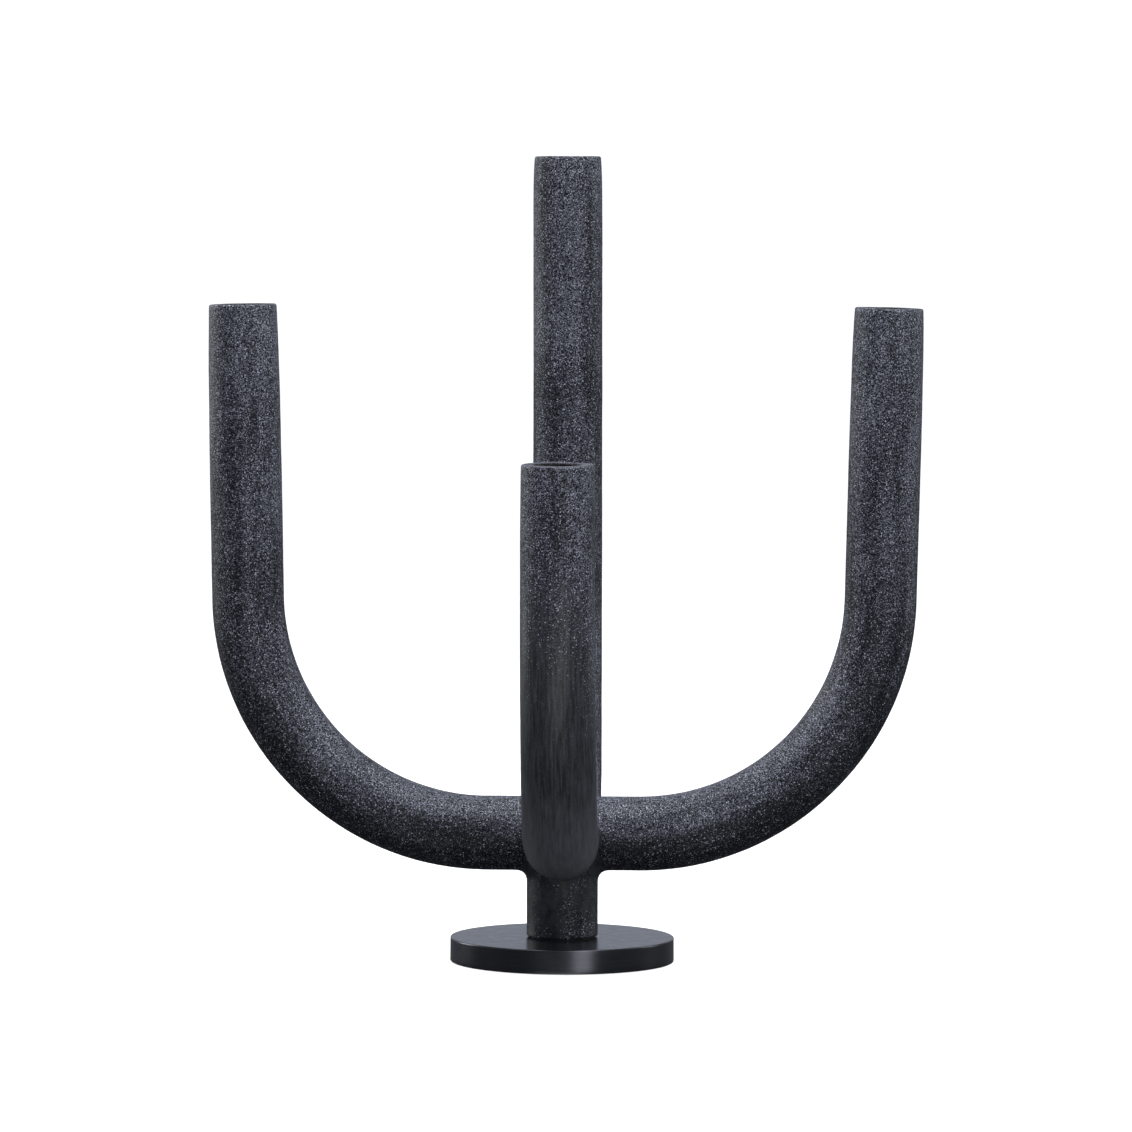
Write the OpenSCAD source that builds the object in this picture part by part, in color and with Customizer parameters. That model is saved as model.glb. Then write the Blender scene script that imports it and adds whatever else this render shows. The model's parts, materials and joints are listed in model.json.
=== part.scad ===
// Tabletop candelabra: four upright tubular arms on one short stem, bolted to a round steel base.
// The arms and the stem are hollow clay tubes, joined at the hub and fired; the base is screwed on
// from underneath. The origin is the middle of the underside, +Z is up, and the front arm is at -Y.

/* [Tube] */
// Outside diameter of the clay tube, in the bends and the uprights
tube_d = 38.8; // [30:0.2:50]
// How much thicker the tube is in the level runs at the hub, on each side
run_swell = 0.6; // [0.1:0.05:1.5]
// Outside diameter at an arm's rim, where the tube narrows
rim_d = 36.2; // [34:0.2:50]
// Length over which the tube narrows up to the rim
taper_length = 30; // [20:1:60]
// Radius of the rounded edges of a rim
lip_r = 1; // [0.6:0.1:2.4]

/* [Candle socket] */
// Diameter of the candle that a socket takes
candle_d = 22; // [18:0.5:26]
// Gap between a candle and the socket's wall
candle_gap = 0.8; // [0.2:0.1:1.2]
// Depth of a socket, from the rim to the stop under the candle
socket_depth = 28; // [15:1:45]
// Thickness of the stop under the candle
stop_thickness = 4; // [2:0.5:8]
// Step from the socket's wall in to the seat that the stop lies in
seat_step = 0.6; // [0.3:0.1:1.5]
// Width of the ledge under the stop, where the tube's hollow starts
ledge_width = 1.2; // [0.8:0.1:3]
// Gap round the stop in its seat
stop_gap = 0.1; // [0.02:0.02:0.4]

/* [Arms] */
// Height of the arms' level runs, at the tube's middle
run_height = 69.4; // [60:0.2:110]
// Length of a level run, from the stem's axis to the start of the bend
run_length = 41; // [30:0.2:80]
// Radius of the bend, at the tube's middle
bend_r = 129; // [60:1:160]
// Outward lean of the upright part of an arm, in degrees
lean = 1.2; // [0:0.1:6]
// Tilt of the front and back arms to the left, in degrees
side_tilt = 0.3; // [-1:0.1:1]
// Length of the front arm's upright part, from the bend to the rim
front_upright = 81.6; // [65:0.2:300]
// Length of the left and right arms' upright parts
side_upright = 157.6; // [65:0.2:400]
// Length of the back arm's upright part
back_upright = 236.6; // [65:0.2:500]

/* [Stem] */
// Diameter of the stem
stem_d = 38.4; // [30:0.2:50]
// Diameter of the stem's hollow
stem_hollow_d = 24; // [16:0.5:28]
// Radius of the rounded edge of the stem's foot
foot_edge_r = 1.2; // [0.4:0.1:2.5]
// Thickness of the gasket under the stem
gasket_thickness = 0.5; // [0.3:0.1:2]
// Distance from the stem's side to the gasket's edge
gasket_inset = 0.8; // [0.4:0.1:2]
// Radius of the worked clay between the stem and the arms
collar_r = 5; // [3:0.5:8]

/* [Base] */
// Diameter of the base
base_d = 120.6; // [90:0.2:180]
// Height of the base's top above the table
base_height = 13.4; // [12:0.1:25]
// Bevel along the base's edges
base_bevel = 0.6; // [0.2:0.1:1.5]
// Distance from the base's edge in to the pad under it
pad_inset = 6; // [3:0.5:15]
// Thickness of the pad
pad_thickness = 1.5; // [1:0.1:3]
// Distance that the pad stands out below the base
pad_proud = 0.4; // [0.2:0.1:0.9]
// Gap round the pad in its recess
pad_gap = 0.4; // [0.1:0.1:1]

/* [Screw] */
// Thread diameter of the screw
screw_d = 6; // [4:1:8]
// Diameter of the screw's head
screw_head_d = 10; // [8:0.5:14]
// Height of the screw's head
screw_head_h = 4; // [3:0.5:6]
// Distance across the flats of the hexagon socket
hexagon = 4; // [2.5:0.5:6]
// Depth of the hexagon socket
hexagon_depth = 2.4; // [1.5:0.1:2.8]
// Length of thread in the anchor
screw_bite = 16; // [8:1:22]
// Gap round the screw in its plain holes
screw_gap = 0.3; // [0.1:0.1:0.8]
// Gap round the screw in the anchor's thread
thread_gap = 0.05; // [0.02:0.01:0.1]
// Diameter of the washers
washer_d = 12; // [10:0.5:16]
// Thickness of each washer
washer_t = 1.6; // [1:0.1:2]
// Slit in the spring washer
washer_slit = 1.2; // [0.6:0.1:2]
// Gap round the washers in the base
washer_gap = 0.5; // [0.2:0.1:1]
// Length of the anchor that is bonded into the stem
anchor_length = 24; // [20:1:28]
// Bond gap round the anchor
bond_gap = 0.1; // [0.05:0.05:0.3]
// Width and depth of the bond grooves round the anchor
groove = 1; // [0.5:0.1:1.5]

/* [Hidden] */
$fn = 96;

clay = [0.17, 0.18, 0.20];
clay_slip = [0.13, 0.14, 0.16];
steel_black = [0.07, 0.07, 0.08];
zinc = [0.62, 0.63, 0.65];
brass = [0.72, 0.60, 0.32];
felt = [0.16, 0.16, 0.17];
rubber = [0.05, 0.05, 0.05];

// Directions that the arms point in, turned about the stem's axis
toward_front = -90;
toward_left = 180;
toward_right = 0;
toward_back = 90;

// Overlap that carries a cut past the face it starts from
past = 1;
// Length over which a level run reaches round the start of its bend
run_lap = 1.5;
// Straight edges that make up a quarter of a rounded edge
steps = 8;
// Most of a rim's wall that one of its two rounded edges takes
lip_share = 0.45;

tube_r = tube_d / 2;
run_r = tube_r + run_swell;
rim_r = rim_d / 2;
socket_r = candle_d / 2 + candle_gap;
seat_r = socket_r - seat_step;
hollow_r = seat_r - ledge_width;
lip = min(lip_r, (rim_r - socket_r) * lip_share);

// Height of the bend's centre
bend_z = run_height + bend_r;

// Heights in the base, from the table upwards
recess_top = pad_thickness;
web_bottom = recess_top + screw_head_h + 2 * washer_t;
screw_top = base_height + gasket_thickness + screw_bite;
foot_z = base_height + gasket_thickness;

washer_pocket_r = washer_d / 2 + washer_gap;
plain_hole_r = screw_d / 2 + screw_gap;
thread_hole_r = screw_d / 2 + thread_gap;
stem_r = stem_d / 2;
stem_hollow_r = stem_hollow_d / 2;
anchor_r = stem_hollow_r - bond_gap;
base_r = base_d / 2;
pad_r = base_r - pad_inset;

// Points along an arc, from angle a to angle b
function arc(x, y, r, a, b) =
    [for (i = [0 : steps]) let (t = a + (b - a) * i / steps) [x + r * cos(t), y + r * sin(t)]];

// Outline of an arm's upright part: tube, narrowing rim, candle socket, ledge and hollow
function upright_outline(length) = concat(
    [[hollow_r, 0], [tube_r, 0], [tube_r, length - taper_length]],
    arc(rim_r - lip, length - lip, lip, 0, 90),
    arc(socket_r + lip, length - lip, lip, 90, 180),
    [
        [socket_r, length - socket_depth],
        [seat_r, length - socket_depth],
        [seat_r, length - socket_depth - stop_thickness],
        [hollow_r, length - socket_depth - stop_thickness]
    ]
);

// Quarter of the hub that belongs to an arm pointing along +X
module hub_quarter(reach) {
    translate([0, 0, run_height - run_r - past])
        linear_extrude(2 * (run_r + past))
            polygon([[0, 0], [reach, -reach], [reach, reach]]);
}

// Places a piece in the leaning frame of an arm, whose middle is the centre of the bend
module in_lean() {
    translate([run_length, 0, bend_z])
        rotate([0, lean, 0])
            children();
}

// Turns a piece of an arm about the axis of its level run
module tilted(tilt) {
    translate([0, 0, run_height])
        rotate([tilt, 0, 0])
            translate([0, 0, -run_height])
                children();
}

// Places a piece on the axis of an upright, at a distance along it from the end of the bend
module on_upright(distance) {
    in_lean()
        translate([bend_r, 0, distance])
            children();
}

// Level run of an arm, mitred so that four arms meet at the stem's axis. Its wall is thicker than the
// bend's, outside and inside, and laps round the start of the bend.
module level_run() {
    reach = run_length + run_lap;
    intersection() {
        translate([0, 0, run_height])
            rotate([0, 90, 0])
                difference() {
                    cylinder(h = reach, r = run_r);
                    translate([0, 0, -past])
                        cylinder(h = reach + 2 * past, r = hollow_r - run_swell);
                }
        hub_quarter(reach + run_r);
    }
}

module bend() {
    in_lean()
        rotate([-90, 0, 0])
            rotate_extrude(angle = 90 - lean)
                translate([bend_r, 0])
                    difference() {
                        circle(r = tube_r);
                        circle(r = hollow_r);
                    }
}

module arm(turn, length, tilt) {
    color(clay)
        rotate([0, 0, turn]) {
            level_run();
            tilted(tilt) {
                bend();
                on_upright(0)
                    rotate_extrude()
                        polygon(upright_outline(length));
            }
        }
}

module candle_stop(turn, length, tilt) {
    color(clay_slip)
        rotate([0, 0, turn])
            tilted(tilt)
                on_upright(length - socket_depth - stop_thickness)
                    cylinder(h = stop_thickness, r = seat_r - stop_gap);
}

// The four level runs without their hollows, for fitting what is under them
module runs_outside() {
    for (turn = [0, 90])
        rotate([0, 0, turn])
            translate([-run_length, 0, run_height])
                rotate([0, 90, 0])
                    cylinder(h = 2 * run_length, r = run_r);
}

module stem_tube() {
    color(clay)
        difference() {
            translate([0, 0, foot_z])
                rotate_extrude()
                    polygon(concat(
                        [[stem_hollow_r, 0]],
                        arc(stem_r - foot_edge_r, foot_edge_r, foot_edge_r, -90, 0),
                        [[stem_r, run_height - foot_z], [stem_hollow_r, run_height - foot_z]]
                    ));
            runs_outside();
        }
}

// Clay worked into the corner between the stem and the undersides of the arms
module joint_collar() {
    under = run_height - run_r;
    // Thickness of the collar's edges
    feather = 0.4;
    color(clay_slip)
        difference() {
            rotate_extrude()
                polygon(concat(
                    [[stem_r, under + collar_r], [stem_r, under - collar_r]],
                    arc(stem_r + collar_r, under - collar_r, collar_r - feather, 180, 90),
                    [[stem_r + collar_r, under]]
                ));
            runs_outside();
        }
}

module stem_anchor() {
    color(brass)
        translate([0, 0, foot_z])
            difference() {
                cylinder(h = anchor_length, r = anchor_r);
                translate([0, 0, -past])
                    cylinder(h = screw_bite + groove + past, r = thread_hole_r);
                for (z = [anchor_length / 3, anchor_length * 2 / 3])
                    translate([0, 0, z - groove / 2])
                        difference() {
                            cylinder(h = groove, r = anchor_r + past);
                            translate([0, 0, -past])
                                cylinder(h = groove + 2 * past, r = anchor_r - groove);
                        }
            }
}

module stem_gasket() {
    color(rubber)
        translate([0, 0, base_height])
            difference() {
                cylinder(h = gasket_thickness, r = stem_r - foot_edge_r - gasket_inset);
                translate([0, 0, -past])
                    cylinder(h = gasket_thickness + 2 * past, r = stem_hollow_r);
            }
}

module base_disc() {
    color(steel_black)
        rotate_extrude()
            polygon([
                [plain_hole_r, web_bottom],
                [washer_pocket_r, web_bottom],
                [washer_pocket_r, recess_top],
                [pad_r + pad_gap, recess_top],
                [pad_r + pad_gap, pad_proud],
                [base_r - base_bevel, pad_proud],
                [base_r, pad_proud + base_bevel],
                [base_r, base_height - base_bevel],
                [base_r - base_bevel, base_height],
                [plain_hole_r, base_height]
            ]);
}

module base_pad() {
    color(felt)
        cylinder(h = pad_thickness, r = pad_r);
}

module base_screw() {
    head_top = recess_top + screw_head_h;
    color(zinc)
        difference() {
            union() {
                translate([0, 0, recess_top])
                    cylinder(h = screw_head_h, r = screw_head_d / 2);
                translate([0, 0, head_top])
                    cylinder(h = screw_top - head_top, r = screw_d / 2);
            }
            translate([0, 0, recess_top - past])
                cylinder(h = hexagon_depth + past, r = hexagon / sqrt(3), $fn = 6);
        }
}

module washer(z, slit) {
    color(zinc)
        translate([0, 0, z])
            difference() {
                cylinder(h = washer_t, r = washer_d / 2);
                translate([0, 0, -past])
                    cylinder(h = washer_t + 2 * past, r = plain_hole_r);
                if (slit > 0)
                    translate([0, -slit / 2, -past])
                        cube([washer_d, slit, washer_t + 2 * past]);
            }
}

module spring_washer() washer(recess_top + screw_head_h, washer_slit);
module flat_washer() washer(recess_top + screw_head_h + washer_t, 0);

base_disc();
base_pad();
base_screw();
flat_washer();
spring_washer();
stem_anchor();
stem_gasket();
stem_tube();
joint_collar();
arm(toward_front, front_upright, side_tilt);  // arm_front
arm(toward_left, side_upright, 0);  // arm_left
arm(toward_right, side_upright, 0);  // arm_right
arm(toward_back, back_upright, -side_tilt);  // arm_back
candle_stop(toward_front, front_upright, side_tilt);  // candle_stop_front
candle_stop(toward_left, side_upright, 0);  // candle_stop_left
candle_stop(toward_right, side_upright, 0);  // candle_stop_right
candle_stop(toward_back, back_upright, -side_tilt);  // candle_stop_back
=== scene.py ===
import json
import math

import bpy
import numpy as np
from mathutils import Matrix, Vector, noise


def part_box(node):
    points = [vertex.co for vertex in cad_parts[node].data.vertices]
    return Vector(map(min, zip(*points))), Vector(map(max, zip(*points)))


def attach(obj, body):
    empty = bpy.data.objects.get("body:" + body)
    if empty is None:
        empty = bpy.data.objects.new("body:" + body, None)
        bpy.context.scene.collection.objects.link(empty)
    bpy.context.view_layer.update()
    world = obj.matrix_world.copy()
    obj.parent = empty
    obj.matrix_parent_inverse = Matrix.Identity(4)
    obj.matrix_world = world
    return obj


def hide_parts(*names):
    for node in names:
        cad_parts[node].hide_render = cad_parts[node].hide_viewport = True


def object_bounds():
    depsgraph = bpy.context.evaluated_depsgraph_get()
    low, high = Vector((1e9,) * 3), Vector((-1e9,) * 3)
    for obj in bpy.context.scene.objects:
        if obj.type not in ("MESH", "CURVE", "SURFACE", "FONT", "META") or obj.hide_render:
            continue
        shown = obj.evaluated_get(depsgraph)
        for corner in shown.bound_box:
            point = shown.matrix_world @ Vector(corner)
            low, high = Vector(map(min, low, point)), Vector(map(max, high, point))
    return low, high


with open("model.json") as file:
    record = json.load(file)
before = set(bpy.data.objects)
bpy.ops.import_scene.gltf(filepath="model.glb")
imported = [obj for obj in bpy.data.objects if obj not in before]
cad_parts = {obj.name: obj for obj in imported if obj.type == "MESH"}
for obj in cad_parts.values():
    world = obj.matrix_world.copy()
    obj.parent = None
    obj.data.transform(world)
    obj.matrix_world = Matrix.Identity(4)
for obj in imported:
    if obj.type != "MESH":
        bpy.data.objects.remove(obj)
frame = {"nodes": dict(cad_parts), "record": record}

cad_low, cad_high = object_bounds()

# ---------------------------------------------------------------- sizes, in metres

MM = 0.001
MOUNTS = {m["name"]: m for m in frame["record"]["mounts"]}


def node_box(name):
    low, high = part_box(name)
    return np.array(low, float), np.array(high, float)


base_low, base_high = node_box("base_disc")
pad_low, pad_high = node_box("base_pad")
stem_low, stem_high = node_box("stem_tube")
arm_low, arm_high = node_box("arm_right")

# half the right arm's width is the radius of the level runs, and its lowest point gives their height
RUN_R = (arm_high[1] - arm_low[1]) / 2
RUN_Z = arm_low[2] + RUN_R

# the level runs are thicker than the uprights by the swell
SWELL = 0.6 * MM
TUBE_R = RUN_R - SWELL
BEND_R = 129 * MM

STEM_R = (stem_high[0] - stem_low[0]) / 2
STEM_HOLLOW_R = 12 * MM
FOOT_EDGE_R = 1.2 * MM

# the right arm's candle socket gives the lean, the socket's radius and where the upright stands
socket = MOUNTS["candle_socket_right"]
SOCKET_R = socket["dims"]["r_mm"] * MM
LIP_R = 1.0 * MM
SOCKET_DEPTH = socket["dims"]["length_mm"] * MM + LIP_R
LEAN = math.atan2(socket["axis"][0], socket["axis"][2])
BEND_ANGLE = math.pi / 2 - LEAN
UPRIGHT_Z = RUN_Z + BEND_R * (1 - math.sin(LEAN))
UPRIGHT_A = socket["pos_m"][0] - (socket["pos_m"][2] - UPRIGHT_Z) * math.tan(LEAN)
RUN_LENGTH = UPRIGHT_A - BEND_R * math.cos(LEAN)
BEND_LENGTH = BEND_R * BEND_ANGLE

# below the socket the bore steps in twice: to the seat round the stop, and to the hollow under it
SEAT_STEP = 0.6 * MM
LEDGE = 1.2 * MM
SEAT_R = SOCKET_R - SEAT_STEP
HOLLOW_R = SEAT_R - LEDGE
STOP_THICKNESS = 4 * MM
STOP_GAP = 0.1 * MM

# how far the clay is rounded in the corners between arm and arm, and between arm and stem
GROIN = 5 * MM
FILLET = 6.5 * MM

# ---------------------------------------------------------------- clay body, as a field of distances

HUB = np.array([0.0, 0.0, RUN_Z])
UP = np.array([0, 0, 1.0])


def smooth_min(da, ga, db, gb, reach):
    """Distance to two shapes merged with a rounded corner, and its gradient."""
    h = np.clip(0.5 + 0.5 * (db - da) / reach, 0, 1)
    d = db + (da - db) * h - reach * h * (1 - h)
    return d, ga * h[..., None] + gb * (1 - h)[..., None]


def cylinder_field(p, axis, middle, radius):
    """Distance from points to a cylinder along one axis, and its gradient."""
    q = p - middle
    q[..., axis] = 0
    reach = np.maximum(np.linalg.norm(q, axis=-1), 1e-9)
    return reach - radius, q / reach[..., None]


def runs_field(p):
    """The two level runs, which cross at the hub."""
    return smooth_min(*cylinder_field(p, 0, HUB, RUN_R), *cylinder_field(p, 1, HUB, RUN_R), GROIN)


def hub_field(p):
    """The level runs merged with the stem."""
    return smooth_min(*runs_field(p), *cylinder_field(p, 2, HUB, STEM_R), FILLET)


def onto(p, field, flatten=None, steps=12):
    """Moves points onto a field's surface and returns them with their outward directions."""
    for _ in range(steps):
        d, g = field(p.copy())
        if flatten is not None:
            g = flatten(g)
        p = p - g * (d / np.maximum((g * g).sum(-1), 1e-9))[..., None]
    g = field(p.copy())[1]
    return p, g / np.linalg.norm(g, axis=-1)[..., None]


# ---------------------------------------------------------------- handmade unevenness

# the clay's dents and lumps, from slow to fine: their length, where their noise starts, their height
DENTS = [
    (60 * MM, 0, 0.16 * MM),
    (17 * MM, 31.7, 0.07 * MM),
    (4.5 * MM, 11.3, 0.035 * MM),
    (1.9 * MM, 57.1, 0.03 * MM),
]


def noise_at(points, wave, shift=0.0):
    """Smooth noise between -1 and 1 with features about one wave long."""
    flat = points.reshape(-1, 3) / wave + shift
    values = [noise.noise(v) for v in flat.tolist()]
    return np.array(values).reshape(points.shape[:-1])


def unevenness(p):
    """How far the clay's surface stands out at points."""
    return sum(noise_at(p, length, shift) * height for length, shift, height in DENTS)


def smooth_step(x, low, high):
    """Rises smoothly from 0 at low to 1 at high."""
    t = np.clip((x - low) / (high - low), 0, 1)
    return t * t * (3 - 2 * t)


# ---------------------------------------------------------------- meshes

SHARP_EDGE = math.radians(38)


def ring_mesh(name, rings, attributes=None):
    """A closed mesh over rings of points. Each ring closes on itself, and the last meets the first."""
    count, around = rings.shape[:2]
    here = np.arange(count * around).reshape(count, around)
    beyond = np.roll(here, -1, 0)
    quads = np.stack([here, np.roll(here, -1, 1), np.roll(beyond, -1, 1), beyond], -1).reshape(-1, 4)
    mesh = bpy.data.meshes.new(name)
    mesh.vertices.add(count * around)
    mesh.vertices.foreach_set("co", rings.reshape(-1).astype(np.float32))
    mesh.loops.add(quads.size)
    mesh.loops.foreach_set("vertex_index", quads.reshape(-1).astype(np.int32))
    mesh.polygons.add(len(quads))
    mesh.polygons.foreach_set("loop_start", np.arange(0, quads.size, 4, dtype=np.int32))
    mesh.update(calc_edges=True)
    for key, values in (attributes or {}).items():
        kind, field = ("FLOAT_VECTOR", "vector") if values.ndim == 3 else ("FLOAT", "value")
        layer = mesh.attributes.new(key, kind, "POINT")
        layer.data.foreach_set(field, values.reshape(-1).astype(np.float32))
    if signed_volume(rings.reshape(-1, 3), quads) < 0:
        mesh.flip_normals()
    mesh.polygons.foreach_set("use_smooth", np.ones(len(quads), bool))
    mesh.set_sharp_from_angle(angle=SHARP_EDGE)
    obj = bpy.data.objects.new(name, mesh)
    bpy.context.scene.collection.objects.link(obj)
    return obj


def signed_volume(points, quads):
    """Six times the volume that the faces enclose, or less than nothing where they face inwards."""
    a, b, c, d = (points[quads[:, i]] for i in range(4))
    return (np.cross(b - a, c - a) * a).sum() + (np.cross(c - a, d - a) * a).sum()


def piece(obj, material, node):
    """Finishes a piece: its material, the body it rides on and the CAD node it replaces."""
    obj.data.materials.append(material)
    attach(obj, "root")
    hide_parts(node)


def arc_points(centre_r, centre_z, radius, start, end, count):
    """Points (r, z) along an arc, with angles in degrees."""
    t = np.radians(np.linspace(start, end, count))
    return list(zip(centre_r + radius * np.cos(t), centre_z + radius * np.sin(t)))


def line_points(a, b, spacing):
    """Points along a line, without its end."""
    count = max(1, round(math.dist(a, b) / spacing))
    run, rise = b[0] - a[0], b[1] - a[1]
    return [(a[0] + run * i / count, a[1] + rise * i / count) for i in range(count)]


def path_points(corners, spacing):
    """Points along straight lines through corners, with the last corner left out."""
    out = []
    for a, b in zip(corners, corners[1:]):
        out += line_points(a, b, spacing)
    return out


def full_turn(around):
    """Evenly spaced angles once round."""
    return np.linspace(0, 2 * math.pi, around, endpoint=False)


def lathe(name, outline, around=192, bump=None, centre=(0, 0, 0), tilt=None):
    """A closed solid turned about the vertical from an outline of (r, z) points."""
    r, z = np.array(outline).T
    turn = full_turn(around)
    rings = np.stack([r[:, None] * np.cos(turn), r[:, None] * np.sin(turn), z[:, None] + 0 * turn], -1)
    if bump is not None:
        rings = bump(rings)
    if tilt is not None:
        rings = rings @ np.array(tilt).T
    return ring_mesh(name, rings + np.array(centre))


# ---------------------------------------------------------------- arms

AROUND = 128
HUB_RINGS = 40
HOLLOW_HUB_RINGS = 8

# how far apart the rings are along the outside, the rim's top, the socket's wall and the hollow
RING_SPACING = 1.1 * MM
RIM_SPACING = 0.9 * MM
WALL_SPACING = 1.3 * MM
HOLLOW_SPACING = 5 * MM

# over how many rings past the rim the inside fades into painted shade
SHADE_FADE_RINGS = 3

# how far past the level run the swell fades out, and past the mitre the ridges fade in
SWELL_FADE = 190 * MM
CREASE_FADE = 14 * MM

# ridges along the tubes, broad and narrow: how wide they are, in tube radii, and how high
BROAD_RIDGE = (1.1, 0.12 * MM)
NARROW_RIDGE = (0.34, 0.05 * MM)

# how long a ridge of one radius in width is
RIDGE_LENGTH = 70 * MM

# how uneven the rim's height is, then how rough the socket's wall is, and how long that roughness
RIM_WOBBLE = 0.18 * MM
WALL_GRAIN = 0.03 * MM
WALL_WAVE = 2.1 * MM


def centreline(s):
    """The tube's middle at a distance along it: how far out, how high, and its climb in radians."""
    bend = np.clip((s - RUN_LENGTH) / BEND_R, 0, BEND_ANGLE)
    past = np.maximum(s - RUN_LENGTH - BEND_LENGTH, 0)
    out = np.minimum(s, RUN_LENGTH) + BEND_R * np.sin(bend) + past * math.sin(LEAN)
    up = RUN_Z + BEND_R * (1 - np.cos(bend)) + past * math.cos(LEAN)
    return out, up, bend


def around_tube(s, radius, theta):
    """Points on the tube in the arm's own frame, with the outward directions."""
    out, up, climb = centreline(s)
    side = np.cos(theta)
    rise = np.sin(theta)
    normal = np.stack([-rise * np.sin(climb), side + 0 * climb, rise * np.cos(climb)], -1)
    middle = np.stack([out, 0 * out, up], -1)
    return middle + normal * np.asarray(radius)[..., None], normal


def hub_rings(theta, radius, count):
    """Rings from the mitre, where the arms meet, out to the start of the bend."""
    share = np.linspace(0, 1, count, endpoint=False)[:, None]
    start = np.abs(radius * np.cos(theta))[None]
    s = start + (RUN_LENGTH - start) * share
    points, _ = around_tube(s, np.full_like(s, radius), np.broadcast_to(theta, s.shape))
    return s, points


class Arm:
    """One arm. Where it points, how it tilts and its length come from its candle socket. At the rim its
    tube is smaller in radius by narrows, which fades out over about the length over below it. The seed
    picks its own unevenness."""

    def __init__(self, side, narrows, over, seed):
        middle = np.array(MOUNTS["candle_socket_" + side]["pos_m"])
        self.side = side
        self.out = np.round(middle / np.abs(middle[:2]).max()) * (1, 1, 0)
        self.across = np.array([-self.out[1], self.out[0], 0])
        above = middle - HUB
        sideways = above @ self.across
        self.tilt_angle = math.atan2(-sideways, above[2])
        self.tilt = np.array(Matrix.Rotation(self.tilt_angle, 3, "X"))
        middle_up = (math.hypot(sideways, above[2]) + RUN_Z - UPRIGHT_Z) / math.cos(LEAN)
        self.length = RUN_LENGTH + BEND_LENGTH + middle_up + (SOCKET_DEPTH + LIP_R) / 2
        self.narrows = narrows
        self.over = over
        self.seed = seed

    def radius(self, s):
        """The tube's radius at a distance along it."""
        swell = SWELL * (1 - smooth_step(s, RUN_LENGTH, RUN_LENGTH + SWELL_FADE))
        return TUBE_R + swell - self.narrows * np.exp(-(self.length - s) / self.over)

    def tilted(self, p):
        """Points past the level run, turned about that run's axis as far as the arm tilts."""
        return (p - HUB) @ self.tilt.T + HUB

    def to_frame(self, p):
        """Points of the arm's own frame (out, across, up) in the shared frame."""
        return p[..., :1] * self.out + p[..., 1:2] * self.across + p[..., 2:] * UP

    def outside(self, theta):
        """The tube's outer skin, from the mitre to the start of the rim's rounded edge."""
        s_hub, p_hub = hub_rings(theta, RUN_R, HUB_RINGS)
        p_hub, n_hub = onto(p_hub, runs_field)
        # on the mitre, a point is as far out as it is across
        on_mitre = p_hub[0]
        on_mitre[:, 0] = np.abs(on_mitre[:, 1])
        end = self.length - LIP_R
        count = round((end - RUN_LENGTH) / RING_SPACING)
        s_tube = np.linspace(RUN_LENGTH, end, count)[:, None] + 0 * theta
        p_tube, n_tube = around_tube(s_tube, self.radius(s_tube), theta + 0 * s_tube)
        s = np.concatenate([s_hub, s_tube])
        p = np.concatenate([p_hub, self.tilted(p_tube)])
        n = np.concatenate([n_hub, n_tube @ self.tilt.T])
        from_mitre = s - np.abs(RUN_R * np.cos(theta))
        ridges = self.ridges(s, theta) * smooth_step(from_mitre, 0, CREASE_FADE)
        lift = unevenness(self.to_frame(p)) + ridges
        return s, p + n * lift[..., None], lift

    def ridges(self, s, theta):
        """Heights of the ridges that run along the tube."""
        unrolled = np.stack([np.cos(theta) + 0 * s, np.sin(theta) + 0 * s, s / RIDGE_LENGTH], -1)
        narrow = noise_at(unrolled, NARROW_RIDGE[0], self.seed) * NARROW_RIDGE[1]
        broad = noise_at(unrolled, BROAD_RIDGE[0], self.seed + 9) * BROAD_RIDGE[1]
        return narrow + broad

    def rim_and_socket(self, theta, lift):
        """The rounded rim, the socket, the seat of the stop and the start of the hollow. Also says how
        many of the rings come before the socket."""
        rim_r = float(self.radius(self.length))
        circle = np.stack([np.cos(theta), np.sin(theta), 0 * theta], -1)
        wobble = noise_at(circle, 0.8, self.seed + 4) * RIM_WOBBLE
        end = self.length
        profile = arc_points(rim_r - LIP_R, end - LIP_R, LIP_R, 0, 90, 8)[1:]
        profile += line_points((rim_r - LIP_R, end), (SOCKET_R + LIP_R, end), RIM_SPACING)[1:]
        top_rings = len(profile)
        profile += arc_points(SOCKET_R + LIP_R, end - LIP_R, LIP_R, 90, 180, 8)
        floor = end - SOCKET_DEPTH
        under = floor - STOP_THICKNESS
        profile += path_points([(SOCKET_R, end - LIP_R - MM), (SOCKET_R, floor)], WALL_SPACING)
        profile += [(SOCKET_R, floor), (SEAT_R, floor), (SEAT_R, under), (HOLLOW_R, under)]
        r, s = np.array(profile).T
        fade = smooth_step(s, end - 3 * LIP_R, end - LIP_R)[:, None]
        inward = np.clip((r - SOCKET_R) / (rim_r - SOCKET_R), 0, 1)[:, None]
        radius = r[:, None] + lift * inward
        along = s[:, None] + wobble * fade
        points, normals = around_tube(along, radius, theta + 0 * along)
        grain = noise_at(self.to_frame(points), WALL_WAVE, 3.3) * WALL_GRAIN
        return along, self.tilted(points + normals * grain[..., None]), top_rings

    def inside(self, theta):
        """The hollow, from under the stop back to the mitre."""
        start = self.length - SOCKET_DEPTH - STOP_THICKNESS
        count = round((start - RUN_LENGTH) / HOLLOW_SPACING)
        s_tube = np.linspace(start, RUN_LENGTH, count)[1:, None] + 0 * theta
        p_tube, _ = around_tube(s_tube, HOLLOW_R + 0 * s_tube, theta + 0 * s_tube)
        s_hub, p_hub = hub_rings(theta, HOLLOW_R, HOLLOW_HUB_RINGS)
        s = np.concatenate([s_tube, s_hub[::-1]])
        return s, np.concatenate([self.tilted(p_tube), p_hub[::-1]])

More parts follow.
